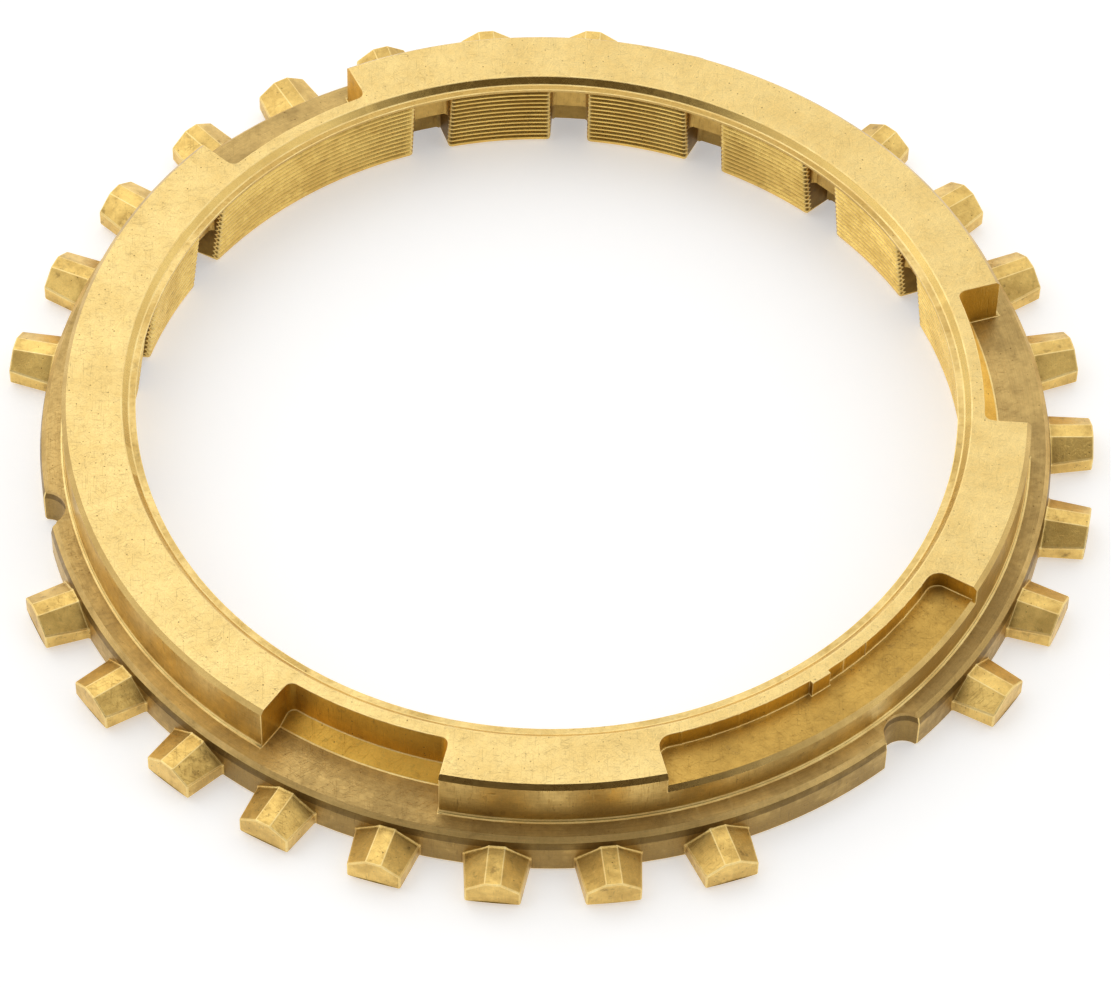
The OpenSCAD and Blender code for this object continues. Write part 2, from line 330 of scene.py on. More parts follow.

# %% [markdown]
# Each face of the ring takes one finish from the recipe. The two colours are the clean metal and its
# tarnish, and the rest says only what differs from the recipe's own values. In the oil slots and on the
# sides of the pads both colours are dark as painted shade, and the worn-edge finish is paler metal that
# also paints a highlight. Turned chamfers, the lip and worn edges are polished, and the sides of the
# pads have no scratches and no pits.

# %% Make the finishes
CLEAN = {"scratched": 0.0, "pitted": 0.0}
POLISHED = {**CLEAN, "smudged": 0.0, "bumpy": 0.1}
FINISHES = {
    "face": brass(
        "machined_face", (0.885, 0.66, 0.265), (0.80, 0.575, 0.21),
        smudged=0.12, turned=0.1, streaked=0.12, scratched=0.2, pitted=0.6, shade_and_grime=0.3,
    ),
    "chamfer": brass(
        "turned_chamfer", (0.70, 0.48, 0.165), (0.50, 0.33, 0.105),
        **POLISHED, turned=0.2, shade_and_grime=0.1, rough=0.26,
    ),
    "side": brass("hub_wall", (0.86, 0.61, 0.21), (0.48, 0.32, 0.10), side_shade=0.1, darkened=0.25, rough=0.3),
    "flange": brass(
        "flange_top", (0.65, 0.445, 0.16), (0.34, 0.225, 0.08), patch=8.0, darkened=0.4, pitted=0.4,
    ),
    "bevel": brass(
        "flange_bevel", (0.76, 0.53, 0.20), (0.50, 0.34, 0.12),
        darkened=0.4, pitted=0.0, rough=0.5, bumpy=0.2,
    ),
    "band": brass("shaded_band", (0.36, 0.23, 0.07), (0.16, 0.10, 0.03), side_shade=0.2, pitted=0.0),
    "rim": brass("rim_wall", (0.66, 0.45, 0.15), (0.32, 0.205, 0.065), side_shade=0.22),
    "wall": brass(
        "milled_wall", (0.98, 0.665, 0.15), (0.70, 0.44, 0.08), turned=0.1, shade_and_grime=0.5, reach=3.5, rough=0.3,
    ),
    "floor": brass("milled_floor", (0.63, 0.39, 0.092), (0.46, 0.28, 0.065), turned=0.15, pitted=0.3),
    "shelf": brass("key_shelf", (1.0, 0.60, 0.11), (0.76, 0.43, 0.07), turned=0.15, pitted=0.4),
    "lip": brass(
        "lip_chamfer", (0.86, 0.61, 0.20), (0.70, 0.47, 0.14),
        **POLISHED, patch=9.0, turned=0.2, shade_and_grime=0.1, rough=0.22,
    ),
    # The ledge is darkened round its far side as painted shade.
    "ledge": brass(
        "bore_ledge", (0.94, 0.70, 0.28), (0.52, 0.325, 0.08),
        patch=9.0, darkened=0.6, darkened_place="shaded far side", turned=0.2, rough=0.3,
    ),
    "web": brass("slot_web", (0.64, 0.41, 0.11), (0.44, 0.27, 0.065), turned=0.1, rough=0.3),
    # The oil slot's colours are darkened as painted shade inside the slot.
    "oil": brass("oil_slot", (0.52, 0.325, 0.085), (0.30, 0.18, 0.042), turned=0.1, rough=0.3),
    "pad": brass(
        "grooved_pad", (1.0, 0.70, 0.195), (0.74, 0.48, 0.115),
        scratched=0.0, pitted=0.1, grainy=0.1, shade_and_grime=0.65, reach=0.8, rough=0.25,
    ),
    "margin": brass(
        "pad_margin", (0.90, 0.655, 0.23), (0.72, 0.49, 0.145), **CLEAN, grainy=0.1, reach=0.5, rough=0.27,
    ),
    # The pad flanks are dark as painted shade on faces turned from the light.
    "flank": brass("shaded_pad_flank", (0.32, 0.18, 0.02), (0.19, 0.10, 0.01), **CLEAN, turned=0.1, rough=0.4),
    "tooth": brass(
        "cut_tooth", (0.93, 0.645, 0.20), (0.54, 0.345, 0.095),
        patch=4.0, smudged=0.6, turned=0.1, pitted=0.6, shade_and_grime=0.7, reach=2.6, rough=0.32,
    ),
    "base": brass("gear_side", (0.66, 0.45, 0.16), (0.44, 0.29, 0.09)),
    # The worn edge is paler metal from wear, and also a painted highlight where it lies in the hub's foot and
    # at the teeth's roots.
    "edge": brass(
        "worn_edge_and_highlight", (1.0, 0.79, 0.35), (0.86, 0.63, 0.24),
        **POLISHED, patch=4.0, turned=0.05, shade_and_grime=0.0, rough=0.5,
    ),
}
ZONE = {name: index for index, name in enumerate(FINISHES)}
print("finishes:", ", ".join(m.name for m in FINISHES.values()))

# %% [markdown]
# ## The turned and milled body
# The body is a lathe section carried round the axis: base, rim, flange, hub and bore. The key slots,
# the recess and the notches change that section over part of the turn. So the mesh is a grid: one
# column per angle, and the same number of stations in each column. Where a slot begins, two columns
# share one angle, and the faces between them become the slot's side wall. Nothing is cut, so every
# edge stays clean for rounding later.

# %% The section at one angle
FOOT_ARC = [
    (HUB_R + FOOT_FILLET * (1 + math.cos(a)), FLANGE_H + FOOT_FILLET * (1 + math.sin(a)))
    for a in np.radians([-90, -120, -150, -180])
]
WALL_JOIN = (HUB_R, RECESS_Z - RECESS_CHAMFER)
KEY_FLOOR_R = (HUB_R + FOOT_FILLET, 52.6, 52.25, 51.8, 51.0, 50.2, SHELF_R)
RECESS_FLOOR_R = (HUB_R - RECESS_CHAMFER, 51.0)
FACE_R = (HUB_R - HUB_CHAMFER, 50.2, 49.5)
DEEP_BACK = [(WEB_R, COVER_Z), (WEB_R, WEB_Z), (OIL_R, OIL_ROOF_Z), (OIL_R, OIL_ROOF_Z / 2)]
PLAIN_BACK = [(46.0, COVER_Z), (46.2, WEB_Z), (46.6, OIL_ROOF_Z / 2), (47.2, 0.0)]
NOTCH_REACH = 10.0


def hub_stations(kind, wall_r):
    """Stations from the foot of the hub wall to the bore, for one kind of column."""
    ends = [(wall_r, RING_H), (LIP_R, RING_H)]
    if kind == "key":
        foot_z = FLANGE_H + (SHELF_R - wall_r) * SHELF_SLOPE
        floor = [(r, FLANGE_H) for r in KEY_FLOOR_R]
        return floor + [(wall_r, foot_z), (wall_r, (foot_z + RING_H) / 2)] + ends
    if kind in ("recess", "step"):
        front_r = wall_r + STEP_T
        corner = (wall_r, RECESS_Z) if kind == "recess" else (front_r, RING_H)
        floor = [WALL_JOIN] + [(r, RECESS_Z) for r in (*RECESS_FLOOR_R, front_r)]
        return FOOT_ARC + floor + [corner] + ends
    top = [(r, RING_H) for r in FACE_R]
    return FOOT_ARC + [WALL_JOIN, (HUB_R, RING_H - HUB_CHAMFER)] + top + ends


def notch_wall_r(angle):
    """Radius at which a half-round notch cuts the rim, or a large one away from the notches."""
    for at in NOTCHES:
        off = math.radians(angle - at)
        side = NOTCH_MID_R * math.sin(off)
        if abs(angle - at) < NOTCH_REACH and abs(side) <= NOTCH_R:
            return NOTCH_MID_R * math.cos(off) - math.sqrt(NOTCH_R**2 - side**2)
    return 2 * RIM_R


def section(angle, kind, wall_r, deep_bore):
    """The closed section of the body at one angle, as (radius, height) stations."""
    band_z = FLANGE_H - FLANGE_BEVEL
    band_r = RIM_R - RIM_BAND_LEAN
    rim = [(RIM_R - BASE_CHAMFER, 0.0), (RIM_R, BASE_CHAMFER), (RIM_R, band_z - RIM_BAND_H)]
    rim += [(band_r, band_z), (band_r - FLANGE_BEVEL, FLANGE_H)]
    rim = [(min(r, notch_wall_r(angle)), z) for r, z in rim]
    ledge = [(LEDGE_R, LEDGE_Z), (CONE_TOP_R, LEDGE_Z), (cone_r(COVER_Z), COVER_Z)]
    back = DEEP_BACK if deep_bore else PLAIN_BACK
    return rim + hub_stations(kind, wall_r) + ledge + back + [(OIL_R, 0.0)]


RIM_STRIPS = ["rim"] * 2 + ["band", "bevel", "flange"]
# The first strip of the hub's foot fillet takes the paler worn-edge finish as a painted highlight.
FOOT_STRIPS = ["edge", "side", "side"]
BORE_STRIPS = ["lip"] + ["ledge"] * 2 + ["web"] * 2 + ["oil"] * 3 + ["base"]
HUB_STRIPS = {
    "plain": FOOT_STRIPS + ["side"] * 2 + ["chamfer"] + ["face"] * 4,
    "key": ["flange"] * 6 + ["shelf"] + ["wall"] * 2 + ["face"],
    "recess": FOOT_STRIPS + ["side", "chamfer"] + ["floor"] * 3 + ["wall"] + ["face"],
    "step": FOOT_STRIPS + ["side", "chamfer"] + ["floor"] * 2 + ["wall"] + ["face"] * 2,
}
STRIPS = {kind: RIM_STRIPS + hub + BORE_STRIPS for kind, hub in HUB_STRIPS.items()}
print("stations:", len(section(0, "plain", 48, True)), "strips:", {k: len(s) for k, s in STRIPS.items()})

# %% [markdown]
# Each feature asks for columns of its own: two at every side wall, a few round each slot corner and
# seventeen across a notch. The cutter that milled the recess left low upright cusps on its inner wall,
# and each of those takes three columns. Even columns fill the rest of the turn.

# %% The columns round the turn
STEP_HALF_ANGLE = math.degrees(math.asin(STEP_HALF_W / (RECESS_R + STEP_T)))
CUSPS_A_SIDE, FIRST_CUSP, CUSP_PITCH = 5, 4.1, 3.9
CUSP = (-0.25, 0.0), (0.0, 0.035), (0.25, 0.0)
CORNER_STEPS, NOTCH_STEPS, EVEN_STEP, LEAST_GAP = 6, 8, 2.0, 0.5
PLAIN_COLUMN = ("plain", KEY_R + KEY_CORNER_R)


def slot_columns(kind, middle, half, wall_r, corner_r):
    """Columns at the two sides of a slot: a doubled one at the side wall and more round the corner."""
    made = []
    for side in (-1, 1):
        edge = middle + side * half
        made.append((edge, side, "plain", wall_r + corner_r))
        for k in range(CORNER_STEPS + 1):
            turn_in = math.pi / 2 * k / CORNER_STEPS
            inward = math.degrees(corner_r * (1 - math.cos(turn_in)) / (wall_r + corner_r))
            made.append((edge - side * inward, 0, kind, wall_r + corner_r * (1 - math.sin(turn_in))))
    return made


def even_kind(angle):
    """Kind of an even column and the radius of its inner wall."""
    for middle in KEY_SLOTS + (360,):
        if abs(angle - middle) < KEY_HALF:
            return "key", KEY_R
    if abs(angle - RECESS_MID) < STEP_HALF_ANGLE:
        return "step", RECESS_R
    if abs(angle - RECESS_MID) < RECESS_HALF:
        return "recess", RECESS_R
    return PLAIN_COLUMN


columns = []
for middle in KEY_SLOTS:
    columns += slot_columns("key", middle, KEY_HALF, KEY_R, KEY_CORNER_R)
    for side in (-1, 1):
        columns += [(middle + side * PLAIN_BORE_HALF, way, *PLAIN_COLUMN) for way in (-1, 1)]
columns += slot_columns("recess", RECESS_MID, RECESS_HALF, RECESS_R, RECESS_CORNER_R)
for side in (-1, 1):
    edge = RECESS_MID + side * STEP_HALF_ANGLE
    columns += [(edge, side, "recess", RECESS_R), (edge, 0, "step", RECESS_R)]
    for k in range(CUSPS_A_SIDE):
        cusp = RECESS_MID + side * (FIRST_CUSP + CUSP_PITCH * k)
        columns += [(cusp + off, 0, "recess", RECESS_R + out) for off, out in CUSP]
meeting = (RIM_R**2 + NOTCH_MID_R**2 - NOTCH_R**2) / (2 * RIM_R * NOTCH_MID_R)
notch_half = math.degrees(math.acos(meeting))
for at in NOTCHES:
    for k in range(-NOTCH_STEPS, NOTCH_STEPS + 1):
        angle = at + notch_half * math.sin(math.pi / 2 * k / NOTCH_STEPS)
        columns.append((angle, 0, *even_kind(angle)))
busy = [c[0] for c in columns]
for step in range(round(360 / EVEN_STEP)):
    angle = EVEN_STEP * step
    if min(abs((angle - b + 180) % 360 - 180) for b in busy) > LEAST_GAP:
        columns.append((angle, 0, *even_kind(angle)))
columns = sorted((a % 360, way, kind, r) for a, way, kind, r in columns)
print("columns:", len(columns))

# %% [markdown]
# Now each column gets its section, and each strip of faces between two columns takes the finish of its
# place. Where two kinds of column meet, the strip is a slot's side wall. Behind the long pads, in line
# with the key slots, the bore is plain, and elsewhere it is as deep as the oil slots.

# %% Build the body's mesh
MERGE_WITHIN, SAME_ANGLE = 1e-7, 1e-6
WALL_STRIPS = slice(len(RIM_STRIPS), len(RIM_STRIPS) + len(HUB_STRIPS["plain"]))


def mesh_piece(name, points, faces, zones):
    """A new object from points in millimetres, with doubles merged, faces outward and a finish per face."""
    mesh = bpy.data.meshes.new(name)
    mesh.from_pydata([Vector(p) * MM for p in points], [], faces)
    for finish in FINISHES.values():
        mesh.materials.append(finish)
    mesh.polygons.foreach_set("material_index", [ZONE[z] for z in zones])
    work = bmesh.new()
    work.from_mesh(mesh)
    bmesh.ops.remove_doubles(work, verts=work.verts, dist=MERGE_WITHIN)
    bmesh.ops.recalc_face_normals(work, faces=work.faces)
    work.to_mesh(mesh)
    work.free()
    piece = bpy.data.objects.new(name, mesh)
    scene.collection.objects.link(piece)
    return piece


def is_deep(angle, way):
    """Whether the bore of this column is as deep as the oil slots."""
    off = (angle + THIRD / 2) % THIRD - THIRD / 2
    if abs(abs(off) - PLAIN_BORE_HALF) < SAME_ANGLE:
        return way * off > 0
    return abs(off) > PLAIN_BORE_HALF


points, faces, zones = [], [], []
for angle, way, kind, wall_r in columns:
    c, s = math.cos(math.radians(angle)), math.sin(math.radians(angle))
    points += [(r * c, r * s, z) for r, z in section(angle, kind, wall_r, is_deep(angle, way))]
stations = len(points) // len(columns)
for this, column in enumerate(columns):
    following = (this + 1) % len(columns)
    kinds = {column[2], columns[following][2]}
    strips = STRIPS[column[2]].copy()
    if len(kinds) > 1:
        strips[WALL_STRIPS] = ["wall"] * len(strips[WALL_STRIPS])
    if not is_deep(column[0], 1):
        strips[-2] = "base"
    zones += strips
    near, far = this * stations, following * stations
    for low in range(stations):
        high = (low + 1) % stations
        faces.append((near + low, far + low, far + high, near + high))
body = mesh_piece("ring_body", points, faces, zones)
print("body:", len(body.data.vertices), "points,", len(body.data.polygons), "faces")

# %% [markdown]
# ## Rounded edges
# No edge of a machined ring is truly sharp: it is deburred, and use polishes it until it catches the
# light as a thin bright line. The Bevel modifier rounds just the edges that are given a weight here,
# and gives the new faces the finish of a worn edge, whose paler colour is partly worn metal and partly
# a painted highlight.

# %% Round the body's edges
EDGE_ROUND, LEAST_TURN = 0.1, math.radians(20)
LEFT_SHARP = {ZONE[z] for z in ("edge", "web", "oil", "bevel", "chamfer")}


def plain_mesh(piece):
    """Turns a piece and its modifiers into one plain mesh."""
    graph = bpy.context.evaluated_depsgraph_get()
    mesh = bpy.data.meshes.new_from_object(piece.evaluated_get(graph))
    piece.modifiers.clear()
    piece.data = mesh
    return piece


def round_edges(piece, width, share):
    """Rounds each edge by the width times its share, which is worked out by a function."""
    work = bmesh.new()
    work.from_mesh(piece.data)
    weight = work.edges.layers.float.new("bevel_weight_edge")
    for edge in work.edges:
        if len(edge.link_faces) == 2 and edge.calc_face_angle(0) > LEAST_TURN:
            edge[weight] = share(edge)
    count = sum(1 for edge in work.edges if edge[weight] > 0)
    work.to_mesh(piece.data)
    work.free()
    bevel = piece.modifiers.new("round", "BEVEL")
    bevel.limit_method, bevel.width, bevel.segments = "WEIGHT", width * MM, 2
    bevel.use_clamp_overlap, bevel.material = False, ZONE["edge"]
    plain_mesh(piece)
    print(piece.name, "edges rounded:", count, "faces now:", len(piece.data.polygons))


def body_share(edge):
    """No rounding beside the foot, the chamfers and the hidden walls, and full rounding elsewhere."""
    return 0.0 if LEFT_SHARP & {f.material_index for f in edge.link_faces} else 1.0


round_edges(body, EDGE_ROUND, body_share)

# %% [markdown]
# ## Repeating a shape round the axis
# Teeth and friction pads repeat round the ring in three equal groups. One small Geometry Nodes tree
# does this for all of them: it puts a point on the axis for each copy, works out the copy's angle from
# its number, and sets an instance there. The instances are then realized and keep their finishes.

# %% The tree that repeats a shape


def repeat_tree():
    """Node tree: copies of one object turned about Z, in groups that are spread over the full turn."""
    tree = bpy.data.node_groups.new("repeat_round_the_axis", "GeometryNodeTree")
    face = tree.interface
    sockets = {}
    for label, kind in (
        ("Shape", "NodeSocketObject"), ("Groups", "NodeSocketInt"), ("Per group", "NodeSocketInt"),
        ("Pitch", "NodeSocketFloat"), ("First group", "NodeSocketFloat"),
    ):
        sockets[label] = face.new_socket(label, in_out="INPUT", socket_type=kind).identifier
    face.new_socket("Geometry", in_out="OUTPUT", socket_type="NodeSocketGeometry")
    source, out = tree.nodes.new("NodeGroupInput"), tree.nodes.new("NodeGroupOutput")

    def put(a, b):
        tree.links.new(a, b)

    def maths(operation, first, second):
        node = tree.nodes.new("ShaderNodeMath")
        node.operation = operation
        for socket, value in zip(node.inputs, (first, second)):
            if isinstance(value, (int, float)):
                socket.default_value = value
            else:
                put(value, socket)
        return node.outputs[0]

    number = tree.nodes.new("GeometryNodeInputIndex").outputs[0]
    per = source.outputs["Per group"]
    group = maths("FLOOR", maths("DIVIDE", number, per), 0)
    within = maths("SUBTRACT", number, maths("MULTIPLY", group, per))
    centred = maths("SUBTRACT", within, maths("MULTIPLY", maths("SUBTRACT", per, 1), 0.5))
    spread = maths("MULTIPLY", group, maths("DIVIDE", 360, source.outputs["Groups"]))
    middle = maths("ADD", source.outputs["First group"], spread)
    angle = maths("ADD", middle, maths("MULTIPLY", centred, source.outputs["Pitch"]))
    turned = tree.nodes.new("ShaderNodeCombineXYZ")
    put(maths("RADIANS", angle, 0), turned.inputs["Z"])
    spots = tree.nodes.new("GeometryNodePoints")
    put(maths("MULTIPLY", source.outputs["Groups"], per), spots.inputs["Count"])
    shape = tree.nodes.new("GeometryNodeObjectInfo")
    put(source.outputs["Shape"], shape.inputs["Object"])
    copies = tree.nodes.new("GeometryNodeInstanceOnPoints")
    put(spots.outputs[0], copies.inputs["Points"])
    put(shape.outputs["Geometry"], copies.inputs["Instance"])
    put(turned.outputs[0], copies.inputs["Rotation"])
    real = tree.nodes.new("GeometryNodeRealizeInstances")
    put(copies.outputs[0], real.inputs[0])
    put(real.outputs[0], out.inputs[0])
    return tree, sockets


REPEAT, SOCKETS = repeat_tree()
print("tree:", len(REPEAT.nodes), "nodes")


def repeat_round(name, shape, groups, per_group, pitch, first_group):
    """A new object that holds all copies of a shape as one plain mesh."""
    piece = bpy.data.objects.new(name, bpy.data.meshes.new(name))
    scene.collection.objects.link(piece)
    modifier = piece.modifiers.new("repeat", "NODES")
    modifier.node_group = REPEAT
    for label, value in (
        ("Shape", shape), ("Groups", groups), ("Per group", per_group), ("Pitch", float(pitch)),
        ("First group", float(first_group)),
    ):
        modifier[SOCKETS[label]] = value
    plain_mesh(piece)
    bpy.data.objects.remove(shape)
    print(name, groups * per_group, "copies,", len(piece.data.polygons), "faces")
    return piece


# %% [markdown]
# ## Blocking teeth
# Each tooth is a wedge that tapers towards its tip, with two roof faces beside a flat ridge: the roof
# steers the sleeve's splines past it. It is lofted from one house-shaped section along its length. Near
# the rim the sections widen a little, which makes the fillet at the root, and the last section lies on
# the tip circle, because the tips are turned to size.

# %% Make the teeth
TOOTH_TIP_R, STUB_TIP_R, TOOTH_SUNK = 59.98, 58.58, 1.0
TEETH_PER_GROUP, TOOTH_PITCH, STUB_ANGLE = 8, 12, 66
TOOTH_ROOT_HALF, TOOTH_TIP_HALF, TOOTH_L = 3.5, 2.9, 4.8
TOOTH_TAPER = (TOOTH_ROOT_HALF - TOOTH_TIP_HALF) / TOOTH_L
RIDGE_HALF, RIDGE_H, ROOF_SLOPE, TOOTH_BASE = 0.85, 3.9, math.tan(math.radians(33)), 0.5
TOOTH_ROUND, RIDGE_SHARE = 0.19, 0.4
ROOT_FLARE, FLARE_REACH, ROOT_HIGHLIGHT = 0.06, 0.24, 0.06
FLARE_MOST, FLARE_BELOW, FLARE_EAVE = 1.6, 0.5, 0.7
NO_RUN, NEAR_RIM, NEAR_RIDGE, NEAR_TIP, FACES_UP = 0.01, 0.05, 0.05, 0.12, 0.3


def tooth_shape(name, tip_r):
    """One tooth on +X, closed, with rounded edges in the finish of a worn edge."""
    lengths = [RIM_R - TOOTH_SUNK] + [RIM_R + FLARE_REACH * k / 4 for k in range(-1, 5)] + [tip_r]
    points, faces = [], []
    for x in lengths:
        half = TOOTH_ROOT_HALF - (x - RIM_R) * TOOTH_TAPER
        flare = ROOT_FLARE * min(FLARE_MOST, max(0.0, 1 - (x - RIM_R) / FLARE_REACH)) ** 2
        eave = RIDGE_H - (half - RIDGE_HALF) * ROOF_SLOPE
        eave += FLARE_EAVE * flare
        half, low, high = half + flare, TOOTH_BASE - FLARE_BELOW * flare, RIDGE_H + flare
        outline = [(half * k / 2, low) for k in (-2, -1, 0, 1, 2)] + [(half, eave)]
        outline += [(RIDGE_HALF, high), (0, high), (-RIDGE_HALF, high), (-half, eave)]
        points += [(math.sqrt(x * x - y * y) if x == tip_r else x, y, z) for y, z in outline]
    count = len(outline)
    for k in range(len(lengths) - 1):
        for i in range(count):
            j = (i + 1) % count
            faces.append((count * k + i, count * k + j, count * (k + 1) + j, count * (k + 1) + i))
    last = count * (len(lengths) - 1)
    faces += [tuple(range(count)), tuple(range(last, last + count))]
    tooth = mesh_piece(name, points, faces, ["tooth"] * len(faces))

    def tooth_share(edge):
        """Full rounding round the tip, a little along the ridge and none inside the rim."""
        ends = [v.co.x / MM for v in edge.verts]
        along = abs(ends[0] - ends[1]) > NO_RUN
        if max(ends) < RIM_R - NEAR_RIM or not (along or min(ends) > tip_r - NEAR_TIP):
            return 0.0
        out = max(abs(v.co.y) for v in edge.verts) / MM
        return RIDGE_SHARE if along and out < RIDGE_HALF + NEAR_RIDGE else 1.0

    round_edges(tooth, TOOTH_ROUND, tooth_share)
    # Painted highlight: a thin strip of the upward faces at the root takes the paler worn-edge finish.
    for polygon in tooth.data.polygons:
        if 0 < polygon.center.x / MM - RIM_R < ROOT_HIGHLIGHT and polygon.normal.z > FACES_UP:
            polygon.material_index = ZONE["edge"]
    return tooth


tooth = tooth_shape("tooth_shape", TOOTH_TIP_R)
teeth = repeat_round("blocking_teeth", tooth, THIRDS, TEETH_PER_GROUP, TOOTH_PITCH, 0)
stub = repeat_round("short_tooth", tooth_shape("short_shape", STUB_TIP_R), 1, 1, 0, STUB_ANGLE)

# %% [markdown]
# ## Friction pads
# Fine grooves are turned into the cone so that its crests cut through the oil film, and oil slots
# split it into pads. A pad is a block whose front carries the grooves and whose back is sunk into the
# body. Its upright edges are rounded by drawing the whole front back near each side. Twelve short pads
# lie between oil slots, and a long one lies behind each key slot. The short ones are sunk deep, and the
# long ones only a little, because the body behind them is not cut away.

# %% Make the pads
GROOVES, GROOVE_DEPTH, GROOVE_CREST, CONE_LAND, VALLEY_FLAT = 12, 0.3, 0.25, 0.3, 0.08
GROOVE_PITCH = (LEDGE_Z - CONE_CHAMFER - 2 * CONE_LAND) / GROOVES
PAD_ROUND, PAD_DROP, PAD_TOP, PAD_TOP_BACK = 0.44, 0.02, COVER_Z + 0.07, 0.04
ROUND_STEPS, EVEN_START, LEAST_COLUMNS = (0.0, 0.03, 0.1, 0.23, PAD_ROUND), 1.2, 8
DEEP_SINK = [(49.9, PAD_DROP), (49.9, 5.2), (46.7, 6.1), (46.7, PAD_TOP)]
SHALLOW_SINK = [(47.6, PAD_DROP), (47.0, 2.5), (46.6, 6.0), (46.5, PAD_TOP)]
PADS_PER_GROUP, SLOT_GROUP_MID, SHALLOW_HALF = 4, 60, 16.2


def pad_front():
    """Stations down the grooved front of a pad, as (radius, height)."""
    front = [(cone_r(PAD_TOP) + PAD_TOP_BACK, PAD_TOP)]
    half_v = (GROOVE_PITCH - GROOVE_CREST) / 2
    for k in range(GROOVES):
        top = LEDGE_Z - CONE_LAND - GROOVE_CREST / 2 - k * GROOVE_PITCH
        mid = top - half_v
        valley_r = cone_r(mid) + GROOVE_DEPTH
        front += [(cone_r(top), top)]
        front += [(valley_r, mid + VALLEY_FLAT / 2), (valley_r, mid - VALLEY_FLAT / 2)]
        front += [(cone_r(mid - half_v), mid - half_v)]
    return front + [(cone_r(CONE_CHAMFER), CONE_CHAMFER), (cone_r(0) + CONE_CHAMFER, PAD_DROP)]


def pad_shape(name, slot_angle, shallow_half):
    """A pad centred on +X between oil slots at plus and minus slot_angle degrees."""
    inner = slot_angle - math.degrees((OIL_HALF_W + EVEN_START) / CONE_TOP_R)
    count = max(LEAST_COLUMNS, round(inner))
    spans = [("side", -1, e) for e in ROUND_STEPS]
    spans += [("even", inner * (2 * k / count - 1), 0) for k in range(count + 1)]
    spans += [("side", 1, e) for e in reversed(ROUND_STEPS)]
    points, faces, zones = [], [], []
    front = pad_front()
    for kind, at, e in spans:
        at_side = kind == "side"
        pull = PAD_ROUND - math.sqrt(PAD_ROUND**2 - (PAD_ROUND - e) ** 2) if at_side else 0.0
        back = DEEP_SINK if at_side or abs(at) >= shallow_half else SHALLOW_SINK
        for r, z in [(r + pull, z) for r, z in front] + back:
            angle = math.radians(at)
            if at_side:
                angle = at * (math.radians(slot_angle) - math.asin((OIL_HALF_W + e) / r))
            points.append((r * math.cos(angle), r * math.sin(angle), z))
    rows = len(points) // len(spans)
    for k in range(len(spans) - 1):
        for i in range(rows):
            j = (i + 1) % rows
            faces.append((rows * k + i, rows * k + j, rows * (k + 1) + j, rows * (k + 1) + i))
        rounded = spans[k][0] == spans[k + 1][0] == "side"
        zones += ["margin" if rounded else "pad"] * rows
    last = (len(spans) - 1) * rows
    faces += [tuple(range(rows)), tuple(range(last, last + rows))]
    return mesh_piece(name, points, faces, zones + ["flank"] * 2)


pad = pad_shape("pad_shape", OIL_PITCH / 2, 0)
pads = repeat_round("friction_pads", pad, THIRDS, PADS_PER_GROUP, OIL_PITCH, SLOT_GROUP_MID)
pad = pad_shape("long_pad_shape", OIL_PITCH, SHALLOW_HALF)
long_pads = repeat_round("long_pads", pad, THIRDS, 1, 0, 0)

# %% [markdown]
# The oil slots are milled with a round cutter, so their upright inner corners are hollow, and the lower
# corners of the pads are rounded off by hand. Both are lofted between two outlines and repeated at the
# fifteen slots: the fillets are added to the ring, and the corner pieces are taken away.

# %% Fillets and corner cuts of the oil slots
SLOTS_PER_GROUP, FILLET_R, FILLET_SUNK, FILLET_OVER, FILLET_RISE = 5, 0.7, 0.02, 0.3, 0.5
CORNER_R, CORNER_R_BACK, CORNER_FRONT, CORNER_BACK = 1.2, 0.2, 44.5, 49.4
CUT_BELOW, CUT_BESIDE = 0.2, 0.1
ARC = np.radians(np.linspace(0, 90, 7))


def lofted(name, ends, zone):
    """A closed piece between two outlines, and its mirror image across the slot's middle."""
    points, faces = [], []
    count = len(ends[0])
    for side in (1, -1):
        start = len(points)
        points += [(x, side * y, z) for outline in ends for x, y, z in outline]
        ring_a, ring_b = range(start, start + count), range(start + count, start + 2 * count)
        faces += [tuple(ring_a), tuple(ring_b)]
        faces += [(ring_a[i - 1], ring_a[i], ring_b[i], ring_b[i - 1]) for i in range(count)]
    return mesh_piece(name, points, faces, [zone] * len(faces))


def fillet_outline(back_r, z):
    """Plan of the hollow fillet in a slot's corner, at height z and in front of the wall at back_r."""
    mid_x, mid_y, reach = back_r - FILLET_R, OIL_HALF_W - FILLET_R, FILLET_R + FILLET_SUNK
    arc = [(mid_x + reach * math.cos(t), mid_y + reach * math.sin(t), z) for t in ARC]
    over_x, over_y = back_r + FILLET_OVER, OIL_HALF_W + FILLET_OVER
    return arc + [(mid_x, over_y, z), (over_x, over_y, z), (over_x, mid_y, z)]


def corner_outline(x, radius):
    """Outline across the slot of what is cut from a pad's lower corner, at distance x from the axis."""
    mid_y, mid_z = OIL_HALF_W + radius, radius
    arc = [(x, mid_y - radius * math.cos(t), mid_z - radius * math.sin(t)) for t in ARC]
    beside = OIL_HALF_W - CUT_BESIDE
    return arc + [(x, mid_y, -CUT_BELOW), (x, beside, -CUT_BELOW), (x, beside, radius)]


def at_slots(name, ends, zone):
    """A lofted piece repeated at the fifteen oil slots."""
    shape = lofted(name + "_shape", ends, zone)
    return repeat_round(name, shape, THIRDS, SLOTS_PER_GROUP, OIL_PITCH, SLOT_GROUP_MID)


